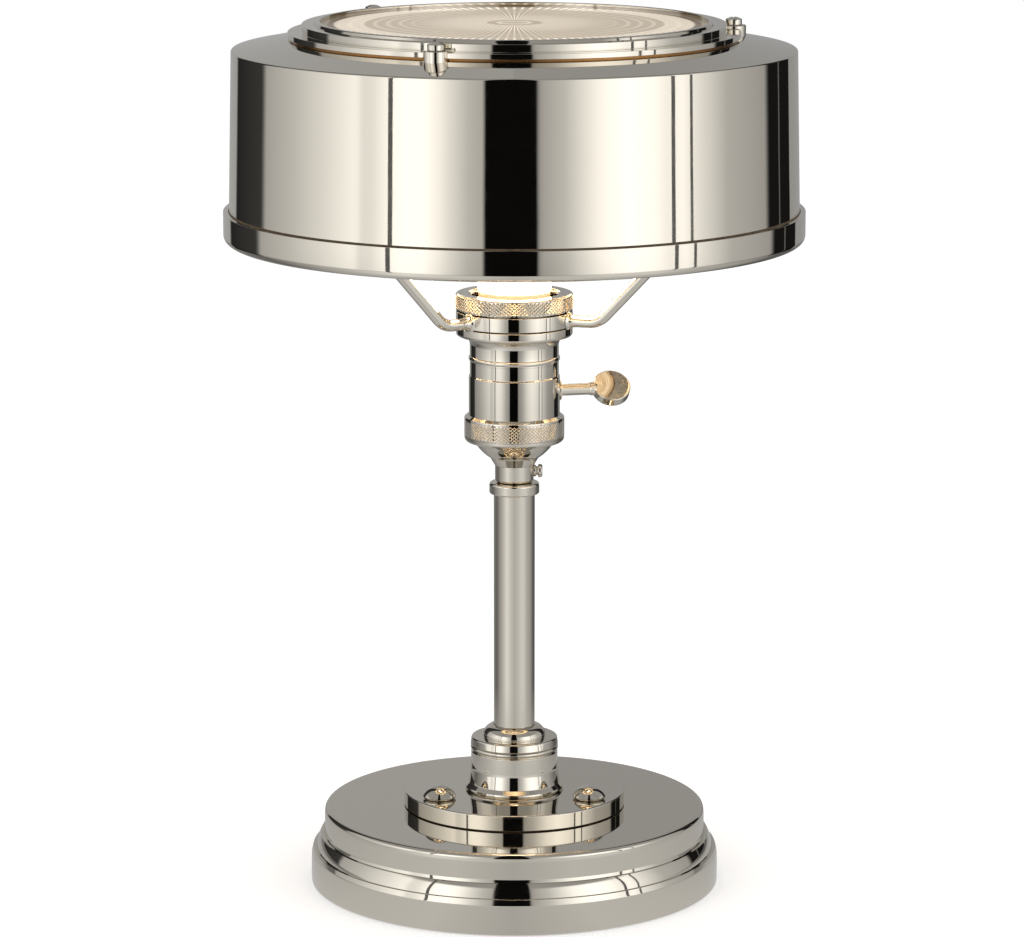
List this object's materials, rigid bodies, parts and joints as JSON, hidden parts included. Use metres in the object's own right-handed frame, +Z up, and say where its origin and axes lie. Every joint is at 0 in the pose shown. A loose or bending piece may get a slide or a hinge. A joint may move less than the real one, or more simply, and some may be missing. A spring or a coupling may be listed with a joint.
{
  "type": "table lamp",
  "caption": "Table lamp with a stepped round base, slim column, turn-key lamp holder and a drum shade with a pressed glass lens in its roof.",
  "frame": {"origin": "on the lamp's vertical axis, at the underside of the felt pad, where it stands on the table", "axes": "+Z up; -Y is the front seen in the picture; the turn key points right, to +X and 12 degrees back"},
  "size_m": [0.2219, 0.2218, 0.3365],
  "materials": {
    "nickel": "polished nickel plate",
    "brass": "bare brass",
    "steel": "zinc-plated steel",
    "iron": "rough cast iron",
    "felt": "black wool felt",
    "fibre": "vulcanised fibre board",
    "insulator": "moulded phenolic",
    "lens": "clear pressed glass, ribbed",
    "bulb": "frosted glass, lit",
    "cap_metal": "plain aluminium",
    "black_glass": "black vitrite glass"
  },
  "bodies": {
    "stand": {"felt_pad": "felt", "bottom_cover": "fibre", "base_shell": "nickel", "base_ballast": "iron", "cord_inlet_bush": "brass", "flange_plate": "nickel", "flange_screws": "nickel", "column_bell": "nickel", "column_tube": "nickel", "column_collar": "nickel", "clamp_rod": "steel", "clamp_washer": "steel", "lock_washer": "steel", "clamp_nut": "steel", "holder_cap": "nickel", "neck_set_screw": "nickel", "holder_shell": "nickel", "insulating_liner": "fibre", "holder_body": "insulator", "screw_contact": "brass", "centre_contact": "brass", "terminal_screws": "brass", "switch_bush": "nickel"},
    "switch": {"switch_shaft": "nickel", "switch_rotor": "insulator", "switch_key": "nickel"},
    "shade": {"hub_ring": "nickel", "arm_left": "nickel", "arm_right": "nickel", "arm_back": "nickel", "shade_drum": "nickel", "shade_roof": "nickel", "shade_rim": "nickel", "bezel_seat": "brass", "lens_bezel": "nickel", "lens_glass": "lens", "lens_retainer": "brass", "bezel_screws": "nickel", "bezel_nuts": "steel"},
    "shade_ring": {"shade_nut": "nickel"},
    "bulb": {"bulb_glass": "bulb", "bulb_cap": "cap_metal", "bulb_insulator": "black_glass", "bulb_contact": "cap_metal"}
  },
  "joints": [
    {"name": "key_turn", "type": "hinge", "parent": "stand", "child": "switch", "pos_m": [0, 0, 0.1936], "axis": [0.9781, 0.2079, 0], "continuous": true},
    {"name": "shade_turn", "type": "hinge", "parent": "stand", "child": "shade", "pos_m": [0, 0, 0.2196], "axis": [0, 0, 1], "continuous": true},
    {"name": "shade_ring_turn", "type": "hinge", "parent": "stand", "child": "shade_ring", "pos_m": [0, 0, 0.2286], "axis": [0, 0, 1], "range_deg": [0, 1080]},
    {"name": "bulb_turn", "type": "hinge", "parent": "stand", "child": "bulb", "pos_m": [0, 0, 0.215], "axis": [0, 0, 1], "range_deg": [0, 1440]}
  ]
}
